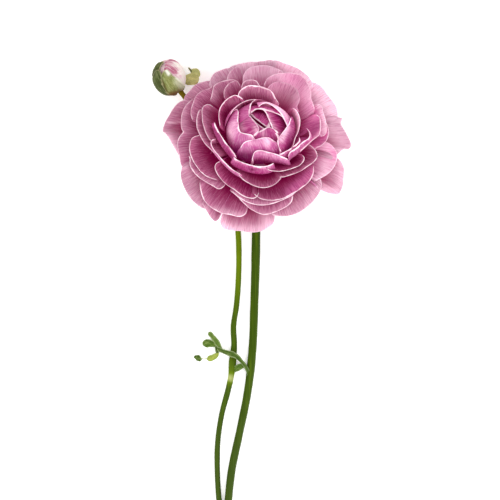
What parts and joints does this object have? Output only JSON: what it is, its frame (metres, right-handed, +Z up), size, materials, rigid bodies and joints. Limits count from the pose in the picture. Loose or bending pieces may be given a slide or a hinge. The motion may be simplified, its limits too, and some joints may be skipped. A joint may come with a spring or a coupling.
{
  "type": "ranunculus flower",
  "caption": "Cut ranunculus lying down: a many-petalled pink bloom facing up, on a long green stem with a side shoot, a bud and a small cut leaf.",
  "frame": {"origin": "centre of the bounding box on the plane the flower lies on", "axes": "+Y along the stem towards the bloom, +Z up from the surface, +X to the bloom's right seen from above"},
  "size_m": [0.0949, 0.2659, 0.0462],
  "materials": {
    "petal_pink": "soft, finely veined mauve-pink petal with a pale rim",
    "bud_petal": "soft pink and white furled petal",
    "sepal_green": "matt olive-green ribbed sepal with a pale margin",
    "stem_green": "smooth satin green stalk",
    "leaf_green": "matt green leaf"
  },
  "bodies": {
    "root": {"flower_petals": "petal_pink", "flower_calyx": "sepal_green", "bud_petals": "bud_petal", "bud_sepals": "sepal_green", "stem": "stem_green", "leaf": "leaf_green", "shoot_leaf": "leaf_green"}
  },
  "joints": []
}
